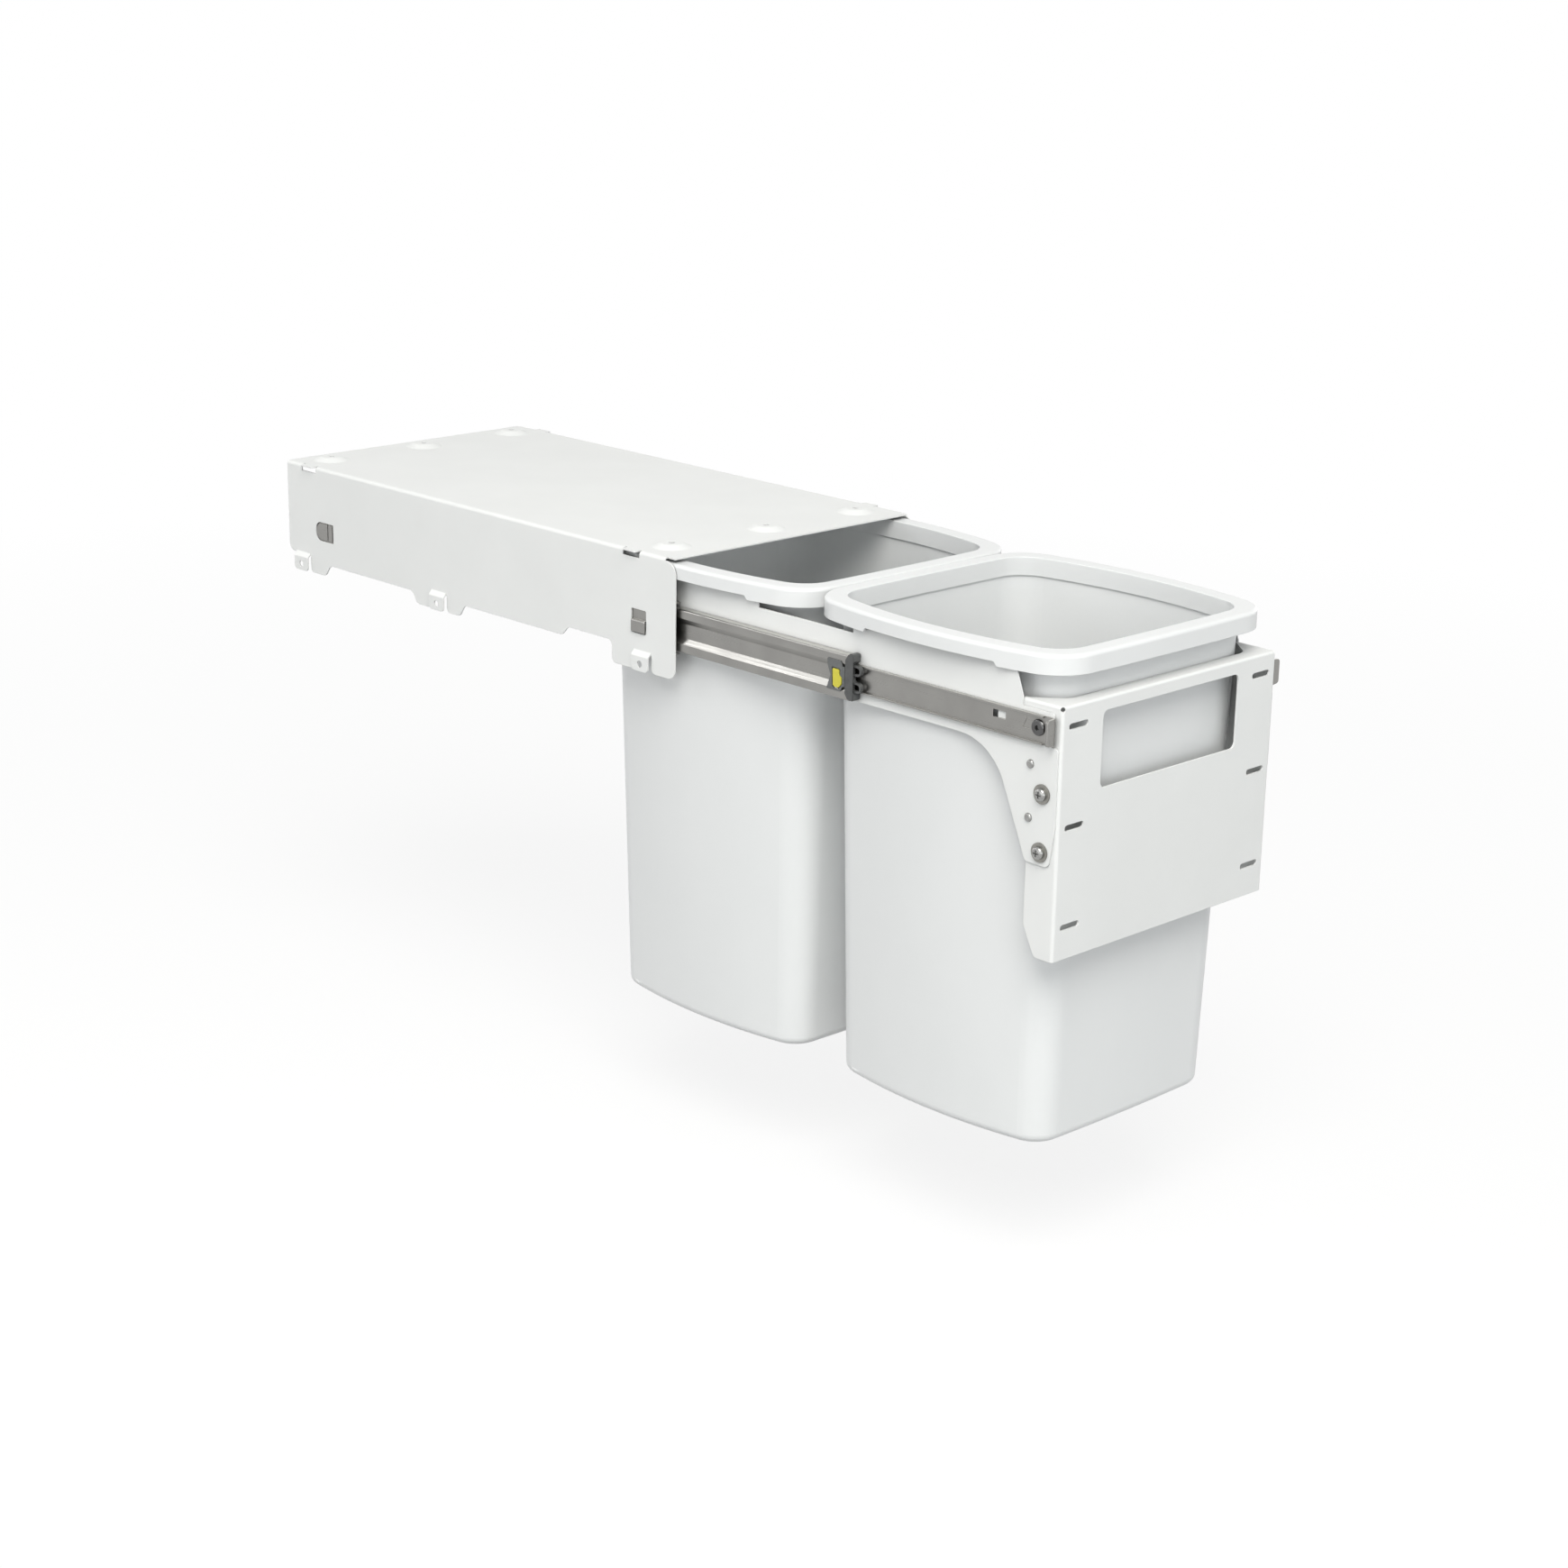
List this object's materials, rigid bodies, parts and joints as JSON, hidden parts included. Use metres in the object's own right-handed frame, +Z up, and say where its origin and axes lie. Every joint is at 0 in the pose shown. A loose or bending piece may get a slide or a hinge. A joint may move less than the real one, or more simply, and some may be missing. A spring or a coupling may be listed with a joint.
{
  "type": "pull out trash cabinet",
  "caption": "Pull-out waste bin unit: ceiling-fixed steel housing, full-extension ball slides, drawer frame with door bracket, tapered bins with rims.",
  "frame": {"origin": "centre of the six ceiling screw holes, in the plane of their raised seats", "axes": "+Z up towards the cabinet's top, -Y the way the drawer comes out, +X to the right seen from the front"},
  "size_m": [0.268, 0.886, 0.3805],
  "materials": {
    "white_steel": "white powder coat, satin",
    "bin_plastic": "off-white moulded plastic, satin",
    "slide_steel": "zinc-plated, satin",
    "cage_steel": "zinc-plated, satin",
    "ball_steel": "polished",
    "screw_steel": "zinc-plated, bright",
    "washer_steel": "zinc-plated, satin",
    "dark_plastic": "dark grey moulded plastic",
    "yellow_plastic": "yellow moulded plastic"
  },
  "bodies": {
    "housing": {"housing_shell": "white_steel", "outer_slide_left": "slide_steel", "outer_slide_right": "slide_steel"},
    "drawer": {"side_panel_left": "white_steel", "side_panel_right": "white_steel", "inner_slide_left": "slide_steel", "inner_slide_right": "slide_steel", "door_bracket": "white_steel", "rear_tie_bar": "white_steel", "slide_screws": "screw_steel", "bracket_washers": "washer_steel", "bracket_screws": "screw_steel", "bracket_rivets": "screw_steel"},
    "middle_member_left": {"middle_slide_left": "slide_steel", "end_retainer_left": "dark_plastic", "latch_body_left": "dark_plastic"},
    "pawl_left": {"latch_pawl_left": "yellow_plastic"},
    "outer_ball_cage_left": {"outer_cage_left": "cage_steel", "outer_balls_left": "ball_steel"},
    "inner_ball_cage_left": {"inner_cage_left": "cage_steel", "inner_balls_left": "ball_steel"},
    "middle_member_right": {"middle_slide_right": "slide_steel", "end_retainer_right": "dark_plastic", "latch_body_right": "dark_plastic"},
    "pawl_right": {"latch_pawl_right": "yellow_plastic"},
    "outer_ball_cage_right": {"outer_cage_right": "cage_steel", "outer_balls_right": "ball_steel"},
    "inner_ball_cage_right": {"inner_cage_right": "cage_steel", "inner_balls_right": "ball_steel"},
    "front_bin": {"front_bin": "bin_plastic"},
    "front_ring": {"front_ring": "bin_plastic"},
    "rear_bin": {"rear_bin": "bin_plastic"},
    "rear_ring": {"rear_ring": "bin_plastic"}
  },
  "joints": [
    {"name": "drawer_slide", "type": "slide", "parent": "housing", "child": "drawer", "axis": [0, -1, 0], "range_m": [-0.378, 0.122]},
    {"name": "middle_member_left_run", "type": "slide", "parent": "housing", "child": "middle_member_left", "axis": [0, -1, 0], "range_m": [-0.20432, 0.06608]},
    {"name": "outer_ball_cage_left_run", "type": "slide", "parent": "housing", "child": "outer_ball_cage_left", "axis": [0, -1, 0], "range_m": [-0.10226, 0.03314]},
    {"name": "inner_ball_cage_left_run", "type": "slide", "parent": "housing", "child": "inner_ball_cage_left", "axis": [0, -1, 0], "range_m": [-0.29126, 0.09414]},
    {"name": "pawl_left_tilt", "type": "hinge", "parent": "middle_member_left", "child": "pawl_left", "pos_m": [-0.1276, -0.4313, -0.0602], "axis": [1, 0, 0], "range_deg": [-6, 6], "stiffness_Nm_per_rad": 0.002},
    {"name": "middle_member_right_run", "type": "slide", "parent": "housing", "child": "middle_member_right", "axis": [0, -1, 0], "range_m": [-0.20432, 0.06608]},
    {"name": "outer_ball_cage_right_run", "type": "slide", "parent": "housing", "child": "outer_ball_cage_right", "axis": [0, -1, 0], "range_m": [-0.10226, 0.03314]},
    {"name": "inner_ball_cage_right_run", "type": "slide", "parent": "housing", "child": "inner_ball_cage_right", "axis": [0, -1, 0], "range_m": [-0.29126, 0.09414]},
    {"name": "pawl_right_tilt", "type": "hinge", "parent": "middle_member_right", "child": "pawl_right", "pos_m": [0.1276, -0.4313, -0.0602], "axis": [1, 0, 0], "range_deg": [-6, 6], "stiffness_Nm_per_rad": 0.002},
    {"name": "front_bin_lift", "type": "slide", "parent": "drawer", "child": "front_bin", "axis": [0, 0, 1], "range_m": [0, 0.38]},
    {"name": "front_ring_lift", "type": "slide", "parent": "front_bin", "child": "front_ring", "axis": [0, 0, 1], "range_m": [0, 0.06]},
    {"name": "rear_bin_lift", "type": "slide", "parent": "drawer", "child": "rear_bin", "axis": [0, 0, 1], "range_m": [0, 0.002]},
    {"name": "rear_ring_lift", "type": "slide", "parent": "rear_bin", "child": "rear_ring", "axis": [0, 0, 1], "range_m": [0, 0.002]}
  ],
  "couplings": [
    {"joint": "middle_member_left_run", "follows": "drawer_slide", "ratio": 0.54},
    {"joint": "outer_ball_cage_left_run", "follows": "drawer_slide", "ratio": 0.27},
    {"joint": "inner_ball_cage_left_run", "follows": "drawer_slide", "ratio": 0.77},
    {"joint": "middle_member_right_run", "follows": "drawer_slide", "ratio": 0.54},
    {"joint": "outer_ball_cage_right_run", "follows": "drawer_slide", "ratio": 0.27},
    {"joint": "inner_ball_cage_right_run", "follows": "drawer_slide", "ratio": 0.77}
  ]
}
